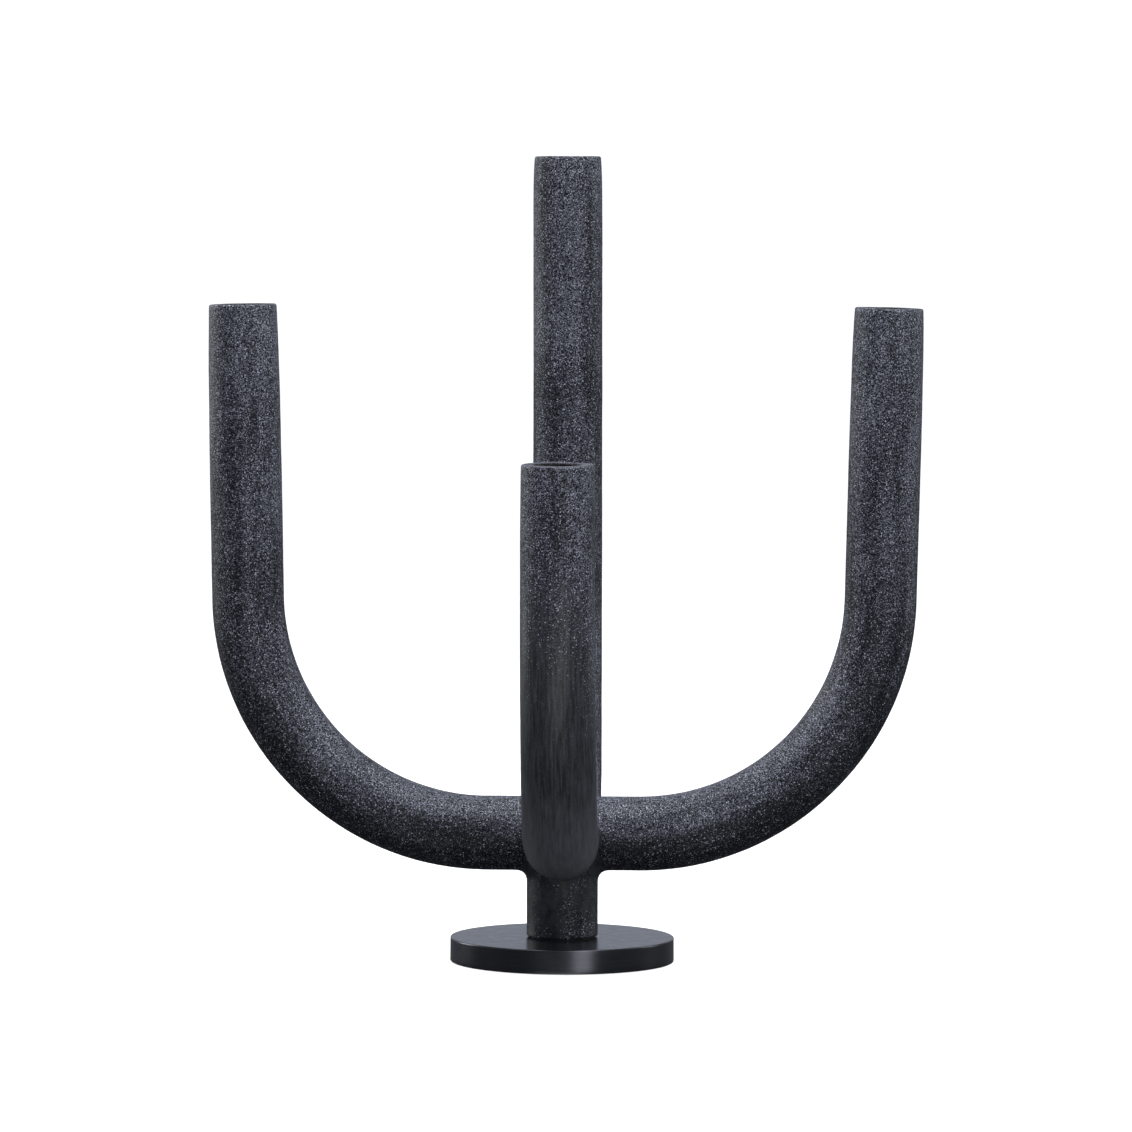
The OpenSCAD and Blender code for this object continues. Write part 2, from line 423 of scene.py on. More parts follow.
    def mesh(self):
        """The whole arm. Its attributes say how the clay lies (around and along the tube), how far the
        rim is, and what is inside the socket or the hollow."""
        theta = full_turn(AROUND)
        s_out, p_out, lift = self.outside(theta)
        s_rim, p_rim, top_rings = self.rim_and_socket(theta, lift[-1])
        s_in, p_in = self.inside(theta)
        s = np.concatenate([s_out, s_rim, s_in])
        rings = self.to_frame(np.concatenate([p_out, p_rim, p_in]))
        # the seed gives each arm streaks of its own
        side = TUBE_R * np.cos(theta) + 0 * s
        rise = TUBE_R * np.sin(theta) + 0 * s
        lay = np.stack([side, rise, s + self.seed], -1)
        to_rim = np.maximum(self.length - s, 0)
        # past the rim's top the inside is marked for the painted shade in the socket
        past_rim = np.arange(len(s)) - len(s_out) - top_rings
        inside = smooth_step(past_rim, 0, SHADE_FADE_RINGS)[:, None] + 0 * s
        # dents and lumps stay inside the CAD's box
        rings = np.clip(rings, cad_low, cad_high)
        attributes = {"lay": lay, "to_rim": to_rim, "inside": inside}
        return ring_mesh("clay_arm_" + self.side, rings, attributes)


ARMS = [
    Arm("front", narrows=0.7 * MM, over=50 * MM, seed=3.0),
    Arm("left", narrows=1.3 * MM, over=35 * MM, seed=8.0),
    Arm("right", narrows=1.1 * MM, over=18 * MM, seed=15.0),
    Arm("back", narrows=0.8 * MM, over=9 * MM, seed=22.0),
]

# ---------------------------------------------------------------- stem and collar

STEM_AROUND = 256

# how far the stem's top goes into the arms, and the collar's edges into the clay beside them
TUCK = 0.4 * MM
EDGE_SINK = 0.05 * MM

# how far the collar reaches down the stem and out under the arms, how much of that its sunk edges take
# up, and how deep its buried side is
COLLAR_REACH = FILLET * 1.12
EDGE_SHARE = 0.08
COLLAR_TUCK = 1.5 * MM


def underside(r, turn):
    """Height of the arms' undersides at a distance from the stem's axis."""
    near = r * np.minimum(np.abs(np.sin(turn)), np.abs(np.cos(turn)))
    return RUN_Z - np.sqrt(np.maximum(RUN_R**2 - near**2, 0))


def plain_attributes(rings):
    """Attributes for clay that lies like the stem and is nowhere near a rim."""
    nowhere = 0 * rings[..., 0]
    return {"lay": rings, "to_rim": nowhere + 1, "inside": nowhere}


def stem_mesh():
    """The stem: a tube with a rounded foot, whose top follows the arms' undersides."""
    turn = full_turn(STEM_AROUND)
    foot = stem_low[2]
    edge = arc_points(STEM_R - FOOT_EDGE_R, foot + FOOT_EDGE_R, FOOT_EDGE_R, -90, 0, 7)
    top = underside(STEM_R, turn) + TUCK
    low = foot + FOOT_EDGE_R
    count = round((top.max() - low) / RING_SPACING)
    share = np.linspace(0, 1, count)[1:, None]
    r = np.concatenate([np.array(edge)[:, :1] + 0 * turn, STEM_R + 0 * share + 0 * turn])
    z = np.concatenate([np.array(edge)[:, 1:] + 0 * turn, low + (top - low) * share])
    skin = np.stack([r * np.cos(turn), r * np.sin(turn), z], -1)
    outward = np.stack([np.cos(turn), np.sin(turn), 0 * turn], -1)
    on_side = smooth_step(z, foot, foot + 2 * FOOT_EDGE_R)
    skin = skin + outward * (unevenness(skin) * on_side)[..., None]
    inner_top = underside(STEM_HOLLOW_R, turn) + TUCK
    drop = np.linspace(1, 0, 12)[:, None]
    inner_z = foot + (inner_top - foot) * drop
    wall = outward * STEM_HOLLOW_R + inner_z[..., None] * UP
    rings = np.concatenate([skin, wall])
    return ring_mesh("clay_stem", rings, plain_attributes(rings))


def collar_mesh():
    """The rounded corner between the stem and the arms, as a ring that meets both smoothly."""
    turn = full_turn(STEM_AROUND)
    corner = underside(STEM_R, turn)
    low_r, low_z = STEM_R + 0 * turn, corner - COLLAR_REACH
    high_r, high_z = low_r + COLLAR_REACH, underside(STEM_R + COLLAR_REACH, turn)
    share = np.linspace(0, 1, 22)[:, None]
    r = low_r + (high_r - low_r) * share
    z = low_z + (high_z - low_z) * share
    outward = np.stack([np.cos(turn), np.sin(turn), 0 * turn], -1)
    points = outward * r[..., None] + UP * z[..., None]

    def in_half_plane(g):
        across = (g * outward).sum(-1)
        return outward * across[..., None] + UP * g[..., 2:]

    points, normals = onto(points, hub_field, in_half_plane)
    sink = 1 - smooth_step(share, 0, EDGE_SHARE) + smooth_step(share, 1 - EDGE_SHARE, 1)
    lift = unevenness(points) - sink * EDGE_SINK
    points = points + normals * lift[..., None]
    buried = outward * (STEM_R - COLLAR_TUCK) + UP * (corner + COLLAR_TUCK)[:, None]
    rings = np.concatenate([points, buried[None]])
    return ring_mesh("clay_collar", rings, plain_attributes(rings))


# ---------------------------------------------------------------- materials


class Nodes:
    """Builds a node material, one short call for each node."""

    def __init__(self, name):
        self.material = bpy.data.materials.new(name)
        self.material.use_nodes = True
        self.tree = self.material.node_tree
        self.tree.nodes.clear()
        self.shader = self.add("ShaderNodeBsdfPrincipled")
        output = self.add("ShaderNodeOutputMaterial")
        self.link(self.shader.outputs[0], output.inputs["Surface"])

    def add(self, kind, **settings):
        node = self.tree.nodes.new(kind)
        for key, value in settings.items():
            setattr(node, key, value)
        return node

    def link(self, out, into):
        self.tree.links.new(out, into)

    def put(self, socket, value):
        """Links an output to a socket, or sets the socket's own number or colour."""
        if isinstance(value, bpy.types.NodeSocket):
            self.link(value, socket)
        elif socket.type == "RGBA":
            socket.default_value = (*value, 1)
        else:
            socket.default_value = value

    def math(self, operation, a, b=None):
        node = self.add("ShaderNodeMath", operation=operation)
        self.put(node.inputs[0], a)
        if b is not None:
            self.put(node.inputs[1], b)
        return node.outputs[0]

    def plus(self, *values):
        total = values[0]
        for value in values[1:]:
            total = self.math("ADD", total, value)
        return total

    def minus(self, a, b):
        return self.math("SUBTRACT", a, b)

    def times(self, a, b):
        return self.math("MULTIPLY", a, b)

    def most(self, a, b):
        return self.math("MAXIMUM", a, b)

    def ramp(self, value, low, high, to_low=0.0, to_high=1.0, smooth=True):
        """Goes from to_low to to_high as the value goes from low to high, and no further."""
        kind = "SMOOTHSTEP" if smooth else "LINEAR"
        node = self.add("ShaderNodeMapRange", interpolation_type=kind)
        for key, item in (("Value", value), ("From Min", low), ("From Max", high),
                          ("To Min", to_low), ("To Max", to_high)):
            self.put(node.inputs[key], item)
        return node.outputs[0]

    def mix(self, share, a, b):
        """The colour a where the share is 0, and b where it is 1."""
        node = self.add("ShaderNodeMix", data_type="RGBA")
        self.put(node.inputs["Factor"], share)
        colours = [socket for socket in node.inputs if socket.type == "RGBA"]
        self.put(colours[0], a)
        self.put(colours[1], b)
        return [socket for socket in node.outputs if socket.type == "RGBA"][0]

    def place(self):
        return self.add("ShaderNodeTexCoord").outputs["Object"]

    def normal(self):
        return self.add("ShaderNodeNewGeometry").outputs["Normal"]

    def attribute(self, name, output="Fac"):
        return self.add("ShaderNodeAttribute", attribute_name=name).outputs[output]

    def xyz(self, vector):
        node = self.add("ShaderNodeSeparateXYZ")
        self.link(vector, node.inputs[0])
        return node.outputs

    def stretch(self, vector, scale):
        """A scale under 1 draws the pattern out along that axis."""
        node = self.add("ShaderNodeMapping")
        self.put(node.inputs["Vector"], vector)
        node.inputs["Scale"].default_value = scale
        return node.outputs[0]

    def noise(self, vector, wave, detail=2.0, rough=0.5, distort=0.0):
        """Cloudy noise between 0 and 1, with features about one wave long."""
        node = self.add("ShaderNodeTexNoise")
        self.put(node.inputs["Vector"], vector)
        node.inputs["Scale"].default_value = 1 / wave
        node.inputs["Detail"].default_value = detail
        node.inputs["Roughness"].default_value = rough
        node.inputs["Distortion"].default_value = distort
        return node.outputs["Fac"]

    def cells(self, vector, size):
        """The distance to the nearest cell's middle, and two random numbers of that cell's own."""
        node = self.add("ShaderNodeTexVoronoi")
        self.put(node.inputs["Vector"], vector)
        node.inputs["Scale"].default_value = 1 / size
        split = self.add("ShaderNodeSeparateColor")
        self.link(node.outputs["Color"], split.inputs[0])
        return node.outputs["Distance"], split.outputs[0], split.outputs[1]

    def bump(self, height, distance, strength=1.0, below=None):
        """A shading normal from a height, on top of the bump below if there is one."""
        node = self.add("ShaderNodeBump")
        node.inputs["Strength"].default_value = strength
        node.inputs["Distance"].default_value = distance
        self.put(node.inputs["Height"], height)
        if below is not None:
            self.link(below, node.inputs["Normal"])
        return node.outputs[0]

    def finish(self, **inputs):
        """Sets the shader's inputs, named with _ for each space, and returns the material."""
        for key, value in inputs.items():
            self.put(self.shader.inputs[key.replace("_", " ")], value)
        return self.material


# the clay's colours, darkest and palest: the body and its mottling, then grains of three sizes
BODY = ((0.0035, 0.0037, 0.0048), (0.0700, 0.0750, 0.0960))
FINE_GRAINS = ((0.070, 0.075, 0.098), (0.260, 0.276, 0.345))
MID_GRAINS = ((0.130, 0.139, 0.178), (0.400, 0.422, 0.505))
FEW_GRAINS = ((0.45, 0.46, 0.48), (0.85, 0.85, 0.83))
# near black painted on the socket's wall and in the hollow, as painted shade
HOLLOW_PAINTED_SHADE = (0.0040, 0.0042, 0.0050)

# how large the grains' cells are
FINE_SIZE = 0.56 * MM
MID_SIZE = 0.84 * MM
FEW_SIZE = 1.3 * MM

# how far the grains, and the grit between them, stand out
RELIEF = 0.16 * MM

# how far below a rim the clay is still paler than the rest
PALE_RIM = 170 * MM

# the front arm is rubbed smooth on its outer side: where that starts as seen from the middle, where it
# is full, and between which heights it comes in
RUB_STARTS_Y = -0.05
RUB_FULL_Y = -0.09
RUB_TOP_Z = 0.322
RUB_FULL_Z = 0.200


def grains(n, place, size, share, soft=0.2):
    """Grains of one size, in a share of the cells: 1 at a grain's middle and 0 between them. Also a
    random tone for each grain."""
    far, lot, tone = n.cells(place, size)
    limit = n.minus(1.0, share)
    there = n.ramp(lot, limit, n.plus(limit, 0.05))
    round_off = n.ramp(far, soft, soft + 0.3, 1.0, 0.0)
    return n.times(there, round_off), tone


def clay_dust_and_top_light(n, place, lay, streaks):
    """How thickly the pale grains lie: in streaks and patches, more near a rim, and more on top and
    fewer underneath, which is partly settled dust and partly painted light from above.
    """
    threads = n.noise(n.stretch(lay, (1, 1, 0.05)), 2.2 * MM, 2, 0.5)
    patches = n.noise(place, 40 * MM, 2, 0.5)
    # painted light from above, added to settled dust: faces that point up get more pale grains,
    # undersides fewer and darker
    upward_dust_and_light = n.ramp(n.xyz(n.normal())[2], -0.85, 0.65, -0.30, 0.16, smooth=False)
    near_rim = n.ramp(n.attribute("to_rim"), 0.0, PALE_RIM, 0.21, 0.0, smooth=False)
    density = n.plus(n.times(streaks, 0.78), n.times(patches, 0.35), n.times(threads, 0.14))
    return n.ramp(n.plus(density, upward_dust_and_light, near_rim), 0.40, 0.91, smooth=False)


def front_rub(n, place, lay):
    """Where the front arm was rubbed smooth: on its outer side low down, with a ragged upper edge."""
    x, y, z = n.xyz(place)
    front = n.ramp(y, RUB_STARTS_Y, RUB_FULL_Y)
    ragged = n.times(n.noise(n.stretch(lay, (1, 1, 0.2)), 11 * MM, 3, 0.6), 0.11)
    toward_right = n.times(n.ramp(x, 4 * MM, 17 * MM), 0.05)
    height = n.plus(z, ragged, toward_right)
    return n.times(front, n.ramp(height, RUB_TOP_Z, RUB_FULL_Z))


def blotchy_rub_and_shade(n, place, most):
    """Rubbing in blotches all over, stronger to the left and higher up. On the stem the stronger
    rubbing higher up is painted shade under the arms.
    """
    x, _, z = n.xyz(place)
    blotch = n.noise(n.stretch(place, (1, 1, 0.6)), 13 * MM, 3, 0.6)
    blotch = n.plus(blotch, n.ramp(x, -8 * MM, 16 * MM, -0.06, 0.06))
    blotch = n.plus(blotch, n.ramp(z, 18 * MM, 45 * MM, 0.05, -0.04))
    return n.ramp(blotch, 0.46, 0.62, most, most * 0.45)


def wear_and_floor_bounce(n, place, worn, speck_share):
    """How pale the rubbed clay is: its own marks with specks between them, and paler low down, which is
    painted light bounced up from the floor.
    """
    specks = n.noise(place, 0.62 * MM, 2, 0.75)
    worn = n.plus(n.times(worn, 1 - speck_share), n.times(specks, speck_share))
    # painted light bounced up from the floor: paler low down, darker higher up
    worn = n.plus(worn, n.ramp(n.xyz(place)[2], 60 * MM, 120 * MM, 0.09, -0.12))
    return n.ramp(worn, 0.30, 0.70, smooth=False)


def clay_material(name, rubbed_dark, rubbed_light, rub_gloss, rub_all=0.0):
    """Unglazed black stoneware full of pale grog. It is rubbed smooth on the front arm's outer side or,
    where rub_all is given, in blotches up to that much."""
    n = Nodes(name)
    place = n.place()
    lay = n.attribute("lay", "Vector")
    streaks = n.noise(n.stretch(lay, (1, 1, 0.13)), 9 * MM, 3, 0.5)
    dust_and_top_light = clay_dust_and_top_light(n, place, lay, streaks)
    if rub_all:
        rub = blotchy_rub_and_shade(n, place, rub_all)
        marks = n.noise(n.stretch(place, (1, 1, 0.7)), 5 * MM, 4, 0.65)
        rubbed = n.mix(wear_and_floor_bounce(n, place, marks, 0.15), rubbed_dark, rubbed_light)
    else:
        rub = front_rub(n, place, lay)
        marks = n.noise(n.stretch(lay, (1, 1, 0.08)), 1.3 * MM, 3, 0.6)
        rubbed = n.mix(wear_and_floor_bounce(n, place, marks, 0.40), rubbed_dark, rubbed_light)

    # grains are fewer where the clay is rubbed
    open_grain = n.minus(1.0, n.times(rub, 0.90))
    fine_share = n.times(n.ramp(dust_and_top_light, 0, 1, 0.22, 0.72), open_grain)
    mid_share = n.times(n.ramp(dust_and_top_light, 0, 1, 0.08, 0.36), open_grain)
    few_share = n.times(n.ramp(dust_and_top_light, 0, 1, 0.005, 0.020), n.ramp(rub, 0, 1, 1.0, 0.35))
    fine, fine_tone = grains(n, place, FINE_SIZE, fine_share)
    mid, mid_tone = grains(n, place, MID_SIZE, mid_share)
    few, few_tone = grains(n, place, FEW_SIZE, few_share, 0.14)

    mottle = n.ramp(n.noise(place, 0.74 * MM, 2, 0.7), 0.47, 0.62)
    mottle = n.times(mottle, n.ramp(dust_and_top_light, 0, 1, 0.25, 1.0))
    colour = n.mix(rub, n.mix(mottle, *BODY), rubbed)
    colour = n.mix(fine, colour, n.mix(fine_tone, *FINE_GRAINS))
    colour = n.mix(mid, colour, n.mix(mid_tone, *MID_GRAINS))
    colour = n.mix(few, colour, n.mix(few_tone, *FEW_GRAINS))
    # the socket's wall and the hollow are painted near black: painted shade
    colour = n.mix(n.attribute("inside"), colour, HOLLOW_PAINTED_SHADE)

    # grains shine a little and the gaps between them hardly at all
    rough = n.plus(n.ramp(rub, 0, 1, 0.50, 0.42), n.times(n.minus(streaks, 0.5), 0.25))
    grain_gloss = n.times(n.most(n.most(fine, mid), mottle), 0.35)
    gloss = n.most(n.plus(grain_gloss, 0.04), n.times(rub, rub_gloss))
    normal = clay_relief(n, place, lay, rub, (fine, mid, few))
    return n.finish(Base_Color=colour, Roughness=rough, Normal=normal, Specular_IOR_Level=gloss)


def clay_relief(n, place, lay, rub, sizes):
    """Fine grit and scratches, with the grains of three sizes standing out of them."""
    fine, mid, few = sizes
    height = n.plus(n.times(fine, 0.45), n.times(mid, 0.75), n.times(few, 0.9))
    grit = n.noise(place, 0.42 * MM, 3, 0.65)
    grit = n.times(grit, n.ramp(rub, 0, 1, 0.8, 0.2))
    scratches = n.noise(n.stretch(lay, (1, 1, 0.03)), 0.9 * MM, 2, 0.6)
    scratches = n.times(scratches, n.ramp(rub, 0, 1, 0.15, 0.35))
    return n.bump(height, RELIEF, 0.7, n.bump(n.plus(grit, scratches), RELIEF, 0.9))


def machined_metal(name, colour, rough, line_wave, along):
    """Machined metal: fine tool lines, small stains and a slightly uneven gloss."""
    n = Nodes(name)
    place = n.place()
    lines = n.noise(n.stretch(place, along), line_wave, 3, 0.6)
    stains = n.noise(place, 9 * MM, 4, 0.6)
    stained = tuple(channel * 0.6 for channel in colour)
    tint = n.mix(n.ramp(stains, 0.3, 0.7, 0.78, 1.0), stained, colour)
    gloss = n.ramp(lines, 0.3, 0.7, rough * 0.85, rough * 1.2)
    normal = n.bump(lines, 0.03 * MM, 0.35)
    return n.finish(Base_Color=tint, Roughness=gloss, Normal=normal, Metallic=1.0)


def base_material():
    """Turned and blackened steel: rings on the top, lines round the side, satin gloss."""
    n = Nodes("blackened_steel")
    place = n.place()
    x, y, z = n.xyz(place)
    join = n.add("ShaderNodeCombineXYZ")
    n.link(n.math("SQRT", n.plus(n.times(x, x), n.times(y, y))), join.inputs[0])
    n.link(z, join.inputs[2])
    turned = join.outputs[0]
    lines = n.noise(turned, 0.22 * MM, 3, 0.7)
    broad = n.noise(turned, 1.3 * MM, 2, 0.5)
    marks = n.ramp(n.noise(turned, 0.45 * MM, 2, 0.7), 0.50, 0.75)
    cloud = n.noise(place, 28 * MM, 3, 0.55)
    smear = n.noise(n.stretch(place, (1, 1, 8)), 6 * MM, 3, 0.6)
    colour = n.mix(n.ramp(cloud, 0.35, 0.65), (0.018, 0.0185, 0.022), (0.030, 0.031, 0.037))
    colour = n.mix(n.ramp(lines, 0.45, 0.75), colour, (0.060, 0.062, 0.070))
    colour = n.mix(n.times(marks, 0.7), colour, (0.085, 0.088, 0.102))
    gloss = n.plus(n.ramp(smear, 0.3, 0.7, 0.22, 0.26), n.times(n.minus(lines, 0.5), 0.08))
    normal = n.bump(n.plus(n.times(lines, 0.6), n.times(broad, 0.4)), 0.012 * MM, 0.25)
    return n.finish(Base_Color=colour, Roughness=gloss, Normal=normal, Metallic=0.8)


def felt_material():
    """Dense charcoal felt: tangled fibres in soft clumps."""
    n = Nodes("felt")
    place = n.place()
    fibres = n.noise(place, 0.8 * MM, 5, 0.75, 2.2)
    clumps = n.noise(place, 6 * MM, 3, 0.6)
    shade = n.plus(n.times(fibres, 0.7), n.times(clumps, 0.4))
    colour = n.mix(n.ramp(shade, 0.35, 0.75), (0.014, 0.014, 0.016), (0.075, 0.075, 0.08))
    normal = n.bump(fibres, 0.4 * MM, 0.8)
    return n.finish(Base_Color=colour, Normal=normal, Roughness=0.95, Sheen_Weight=0.35)


def rubber_material():
    """Black rubber with a little dust on it."""
    n = Nodes("rubber")
    place = n.place()
    dust = n.noise(place, 1.6 * MM, 4, 0.7)
    colour = n.mix(n.ramp(dust, 0.4, 0.7), (0.010, 0.010, 0.011), (0.028, 0.028, 0.030))
    rough = n.ramp(dust, 0.3, 0.7, 0.6, 0.8)
    normal = n.bump(n.noise(place, 0.35 * MM, 2, 0.6), 0.05 * MM, 0.5)
    return n.finish(Base_Color=colour, Roughness=rough, Normal=normal)


CLAY = clay_material(
    "black_stoneware",
    rubbed_dark=(0.0100, 0.0106, 0.0128),
    rubbed_light=(0.0740, 0.0775, 0.0915),
    rub_gloss=0.24,
)
# the stem's and collar's clay: rubbed in blotches, with rubbed colours darker than the arms' as painted
# shade under the arms
STEM_CLAY_SHADED = clay_material(
    "black_stoneware_rubbed",
    rubbed_dark=(0.0015, 0.0016, 0.0020),
    rubbed_light=(0.0250, 0.0262, 0.0310),
    rub_gloss=0.10,
    rub_all=0.95,
)
SLIP_CLAY = clay_material(
    "black_stoneware_slip",
    rubbed_dark=(0.0060, 0.0063, 0.0076),
    rubbed_light=(0.0160, 0.0168, 0.0200),
    rub_gloss=0.3,
    rub_all=0.6,
)
STEEL = base_material()
FELT = felt_material()
RUBBER = rubber_material()
ZINC = machined_metal("zinc_plate", (0.62, 0.63, 0.65), 0.32, 0.3 * MM, (1, 1, 4))
BRASS = machined_metal("turned_brass", (0.72, 0.53, 0.27), 0.36, 0.25 * MM, (0.2, 0.2, 4))

# ---------------------------------------------------------------- base, pad and candle stops

BASE_EDGE = 0.6 * MM
SCREW_HOLE_R = 3.3 * MM
POCKET_R = 6.5 * MM
POCKET_DEPTH = 7.2 * MM
PAD_GAP = 0.4 * MM
PAD_R = (pad_high[1] - pad_low[1]) / 2

# the pad's and the stops' outlines start and end this far from their axis
NEAR_AXIS_PAD = 0.2 * MM
NEAR_AXIS_STOP = 0.15 * MM
SOFT_EDGE = 0.5 * MM

# how deep a stop is dished, how uneven that is, and how far the felt's fibres stand in or out
DISH = 0.5 * MM
DISH_WOBBLE = 0.12 * MM
FUZZ = 0.06 * MM


def base_disc():
    """The base: softly bevelled edges, a recess for the pad and a pocket for the screw's head."""
    r = max(base_high[0] - base_low[0], base_high[1] - base_low[1]) / 2
    low, high = base_low[2], base_high[2]
    side = r - BASE_EDGE
    recess = pad_high[2]
    pocket_top = recess + POCKET_DEPTH
    recess_r = PAD_R + PAD_GAP
    outline = path_points([(SCREW_HOLE_R, high), (side, high)], 2 * MM)
    outline += arc_points(side, high - BASE_EDGE, BASE_EDGE, 90, 0, 6)
    outline += path_points([(r, high - BASE_EDGE - MM), (r, low + BASE_EDGE)], 1.5 * MM)
    outline += arc_points(side, low + BASE_EDGE, BASE_EDGE, 0, -90, 6)
    outline += path_points([
        (side - MM, low), (recess_r, low), (recess_r, recess), (POCKET_R, recess),
        (POCKET_R, pocket_top), (SCREW_HOLE_R, pocket_top), (SCREW_HOLE_R, high),
    ], 2 * MM)
    return lathe("steel_base", outline, 288)


def base_pad():
    """The pad: pressed felt with a soft, slightly uneven edge."""
    low, high = pad_low[2], pad_high[2]
    side = PAD_R - SOFT_EDGE
    outline = path_points([(NEAR_AXIS_PAD, high), (side, high)], 2.5 * MM)
    outline += arc_points(side, high - SOFT_EDGE, SOFT_EDGE, 90, 0, 5)
    outline += arc_points(side, low + SOFT_EDGE, SOFT_EDGE, 0, -90, 5)
    outline += path_points([(side - MM, low), (NEAR_AXIS_PAD, low)], 2.5 * MM)
    outline += [(NEAR_AXIS_PAD, low)]

    def fuzz(rings):
        lift = np.abs(noise_at(rings, 3 * MM, 5.5)) * FUZZ
        out = rings.copy()
        under = rings[..., 2] < (low + high) / 2
        out[..., 2] += np.where(under, lift, -lift)
        return out

    return lathe("felt_pad", outline, 192, fuzz)


def candle_stop(arm):
    """A clay disc, dished a little by hand, lying in its seat at the bottom of the socket."""
    r = SEAT_R - STOP_GAP
    side = r - SOFT_EDGE
    top = STOP_THICKNESS
    outline = path_points([(NEAR_AXIS_STOP, 0), (side, 0)], 1.2 * MM)
    outline += arc_points(side, SOFT_EDGE, SOFT_EDGE, -90, 0, 4)
    outline += arc_points(side, top - SOFT_EDGE, SOFT_EDGE, 0, 90, 4)
    outline += path_points([(side - 0.4 * MM, top), (NEAR_AXIS_STOP, top)], 1.2 * MM)
    outline += [(NEAR_AXIS_STOP, top)]

    def dish(rings):
        out = rings.copy()
        far = np.hypot(rings[..., 0], rings[..., 1]) / r
        uneven = noise_at(rings, 4 * MM, arm.seed) * DISH_WOBBLE * (1 - far**4)
        hollow = DISH * (1 - far**2) + uneven
        out[..., 2] -= np.where(rings[..., 2] > top / 2, np.abs(hollow), 0)
        return out

    bottom = arm.length - SOCKET_DEPTH - STOP_THICKNESS
    out, up, _ = centreline(np.array(bottom))
    centre = arm.to_frame(arm.tilted(np.array([out, 0, up])))
    lean = Matrix.Rotation(LEAN, 3, Vector(arm.across))
    tilt = Matrix.Rotation(arm.tilt_angle, 3, Vector(arm.out))
    return lathe("clay_stop_" + arm.side, outline, 72, dish, centre, tilt @ lean)


# ---------------------------------------------------------------- pieces

for arm in ARMS:
    piece(arm.mesh(), CLAY, "arm_" + arm.side)

piece(stem_mesh(), STEM_CLAY_SHADED, "stem_tube")
piece(collar_mesh(), STEM_CLAY_SHADED, "joint_collar")
piece(base_disc(), STEEL, "base_disc")
piece(base_pad(), FELT, "base_pad")

for arm in ARMS:
    piece(candle_stop(arm), SLIP_CLAY, "candle_stop_" + arm.side)

# the parts that hold the base on keep their CAD shapes and take better materials
HARDWARE = {
    "base_screw": ZINC,
    "flat_washer": ZINC,
    "spring_washer": ZINC,
    "stem_anchor": BRASS,
    "stem_gasket": RUBBER,
}
for name, material in HARDWARE.items():
    for slot in frame["nodes"][name].material_slots:
        slot.material = material

# ---------------------------------------------------------------- camera

scene = bpy.context.scene
scene.view_settings.view_transform = "Standard"
scene.view_settings.look = "None"

# where the viewer stands: a little to the right of the front, a little above the rims, looking down
CAMERA_AZIMUTH = math.radians(0.87)
CAMERA_AWAY = 3.511
CAMERA_HEIGHT = 0.4538
CAMERA_PITCH = math.radians(3.913)
CAMERA_ROLL = math.radians(0.33)
AIM_RIGHT = 0.95 * MM
SENSOR_MM = 36
LENS_MM = 208.3
FARTHEST = 50


def place_camera():
    """The camera, a long way off with a long lens."""
    ahead = Vector((-math.sin(CAMERA_AZIMUTH), math.cos(CAMERA_AZIMUTH), 0))
    right = Vector((math.cos(CAMERA_AZIMUTH), math.sin(CAMERA_AZIMUTH), 0))
    look = ahead * math.cos(CAMERA_PITCH) - Vector((0, 0, math.sin(CAMERA_PITCH)))
    facing = Matrix((right, right.cross(look), -look)).transposed()
    camera = bpy.data.objects.new("camera", bpy.data.cameras.new("camera"))
    camera.data.sensor_width = SENSOR_MM
    camera.data.lens = LENS_MM
    camera.data.clip_end = FARTHEST
    camera.location = -ahead * CAMERA_AWAY + right * AIM_RIGHT + Vector((0, 0, CAMERA_HEIGHT))
    camera.rotation_euler = (facing @ Matrix.Rotation(CAMERA_ROLL, 3, "Z")).to_euler()
    scene.collection.objects.link(camera)
    scene.camera = camera


place_camera()

# ---------------------------------------------------------------- floor and light

# the room's brightness by height, from straight below (0) through level (0.5) to overhead (1)
ROOM = [
    (0.42, (0.09, 0.095, 0.108)),
    (0.51, (0.20, 0.215, 0.25)),
    (0.62, (0.285, 0.294, 0.315)),
    (1.0, (0.855, 0.882, 0.945)),
]

COOL_WHITE = (0.96, 0.98, 1.0)
WARM_WHITE = (1.0, 0.99, 0.97)
PALE_BLUE = (0.83, 0.92, 1.18)


def floor_and_backdrop():
    """A pale sweep: flat floor that curves up a long way behind. It only serves as a backdrop, and is
    kept out of the light that falls on the object."""
    near, far, wide, curve, height = -6.0, 9.0, 12.0, 2.5, 6.0
    profile = [(near, 0.0), (0.0, 0.0), (far - curve, 0.0)]
    profile += [(far - curve + curve * math.sin(t), curve - curve * math.cos(t))
                for t in np.radians(np.linspace(6, 90, 15))]
    profile.append((far, height))
    points = [(x, y, z) for y, z in profile for x in (-wide, wide)]
    faces = [(2 * i, 2 * i + 1, 2 * i + 3, 2 * i + 2) for i in range(len(profile) - 1)]
    mesh = bpy.data.meshes.new("floor")
    mesh.from_pydata(points, [], faces)
    mesh.polygons.foreach_set("use_smooth", np.ones(len(faces), bool))
    mesh.materials.append(Nodes("pale_floor").finish(
        Base_Color=(0.5, 0.5, 0.5),
        Roughness=0.9,
        Specular_IOR_Level=0.1,
        Emission_Color=(1, 1, 1),
        Emission_Strength=0.75,
    ))
    floor = bpy.data.objects.new("floor", mesh)
    floor.visible_diffuse = False
    floor.visible_glossy = False
    floor.visible_shadow = False
    scene.collection.objects.link(floor)


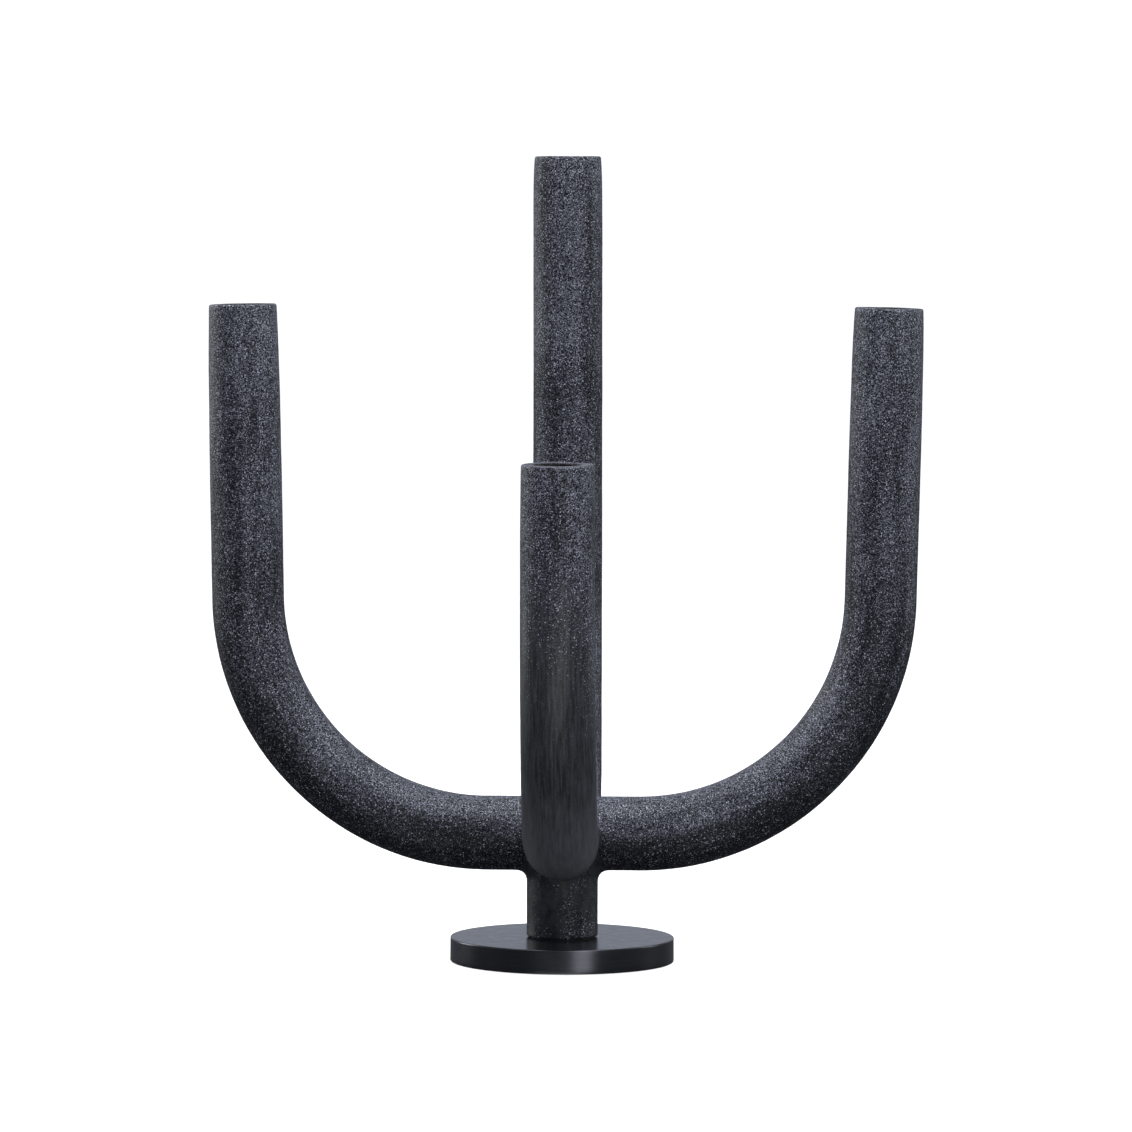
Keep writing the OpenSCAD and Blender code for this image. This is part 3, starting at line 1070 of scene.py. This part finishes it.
def studio_world():
    """A plain room: dark below, grey around, paler overhead."""
    world = bpy.data.worlds.new("studio")
    world.use_nodes = True
    tree = world.node_tree
    place = tree.nodes.new("ShaderNodeTexCoord")
    parts = tree.nodes.new("ShaderNodeSeparateXYZ")
    shift = tree.nodes.new("ShaderNodeMapRange")
    ramp = tree.nodes.new("ShaderNodeValToRGB")
    shift.inputs["From Min"].default_value = -1
    tree.links.new(place.outputs["Generated"], parts.inputs[0])
    tree.links.new(parts.outputs[2], shift.inputs["Value"])
    tree.links.new(shift.outputs[0], ramp.inputs["Fac"])
    tree.links.new(ramp.outputs["Color"], tree.nodes["Background"].inputs["Color"])
    stops = ramp.color_ramp.elements
    for i, (position, colour) in enumerate(ROOM):
        stop = stops[i] if i < len(stops) else stops.new(position)
        stop.position = position
        stop.color = (*colour, 1)
    return world


def softbox(name, azimuth, elevation, away, size, level, colour=(1, 1, 1), target=(0, 0, 0.2)):
    """A large soft light, placed as seen from the object, in degrees and metres. Azimuth 0 is the
    camera's side. The level is how bright its face is."""
    light = bpy.data.lights.new(name, "AREA")
    light.shape = "RECTANGLE"
    light.size, light.size_y = size
    light.energy = level * math.pi * size[0] * size[1]
    light.color = colour
    a = math.radians(azimuth)
    e = math.radians(elevation)
    offset = Vector((math.sin(a) * math.cos(e), -math.cos(a) * math.cos(e), math.sin(e))) * away
    obj = bpy.data.objects.new(name, light)
    obj.location = Vector(target) + offset
    obj.rotation_euler = (-offset).to_track_quat("-Z", "Y").to_euler()
    obj.visible_camera = False
    scene.collection.objects.link(obj)


floor_and_backdrop()
scene.world = studio_world()

softbox("top", 0, 84, away=1.6, size=(1.8, 1.5), level=4.4, colour=COOL_WHITE)
softbox("front", 28, 46, away=2.4, size=(1.4, 1.2), level=2.8, colour=COOL_WHITE)
softbox("front_right", 22, 6, away=2.4, size=(0.8, 1.8), level=4.9, colour=COOL_WHITE)
softbox("left", -116, 20, away=2.0, size=(0.8, 2.0), level=6.8)
softbox("low_front", 0, -28, away=1.6, size=(1.4, 0.5), level=3.2, colour=WARM_WHITE,
        target=(0, 0, 0.1))
softbox("behind", 180, 7, away=3.0, size=(5.0, 0.7), level=0.29, colour=PALE_BLUE)
softbox("right", 104, 20, away=2.2, size=(0.7, 2.0), level=4.6)
